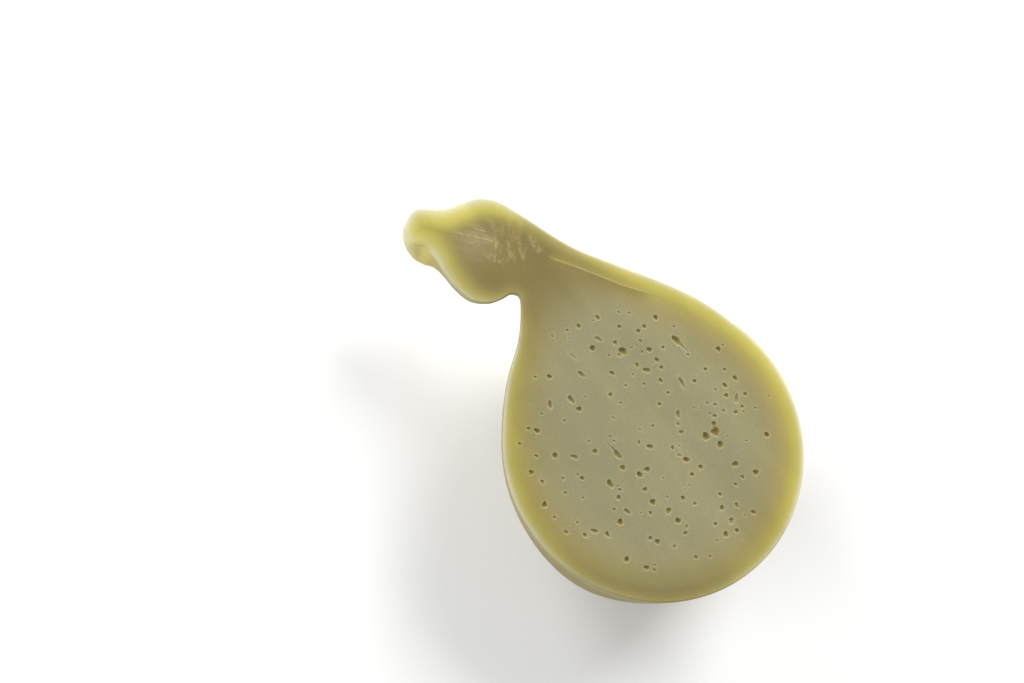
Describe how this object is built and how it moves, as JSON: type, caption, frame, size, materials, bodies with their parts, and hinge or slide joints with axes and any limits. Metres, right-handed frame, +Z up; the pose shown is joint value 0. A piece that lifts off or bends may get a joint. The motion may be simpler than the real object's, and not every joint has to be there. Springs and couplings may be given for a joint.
{
  "type": "half of an aged caciocavallo",
  "caption": "Half of an aged pear-shaped stretched-curd cheese, cut lengthwise through its head and neck, lying cut face up to show the pale paste and its small eyes.",
  "frame": {"origin": "under the middle of the cheese's box, on the surface that it lies on", "axes": "+X runs from the head to the bulb's far end, +Y across the cut face, +Z up out of the cut face"},
  "size_m": [0.2276, 0.1426, 0.0668],
  "materials": {
    "aged_cheese": "satin cheese paste with a thin smooth rind"
  },
  "bodies": {
    "root": {"half_cheese": "aged_cheese"}
  },
  "joints": []
}
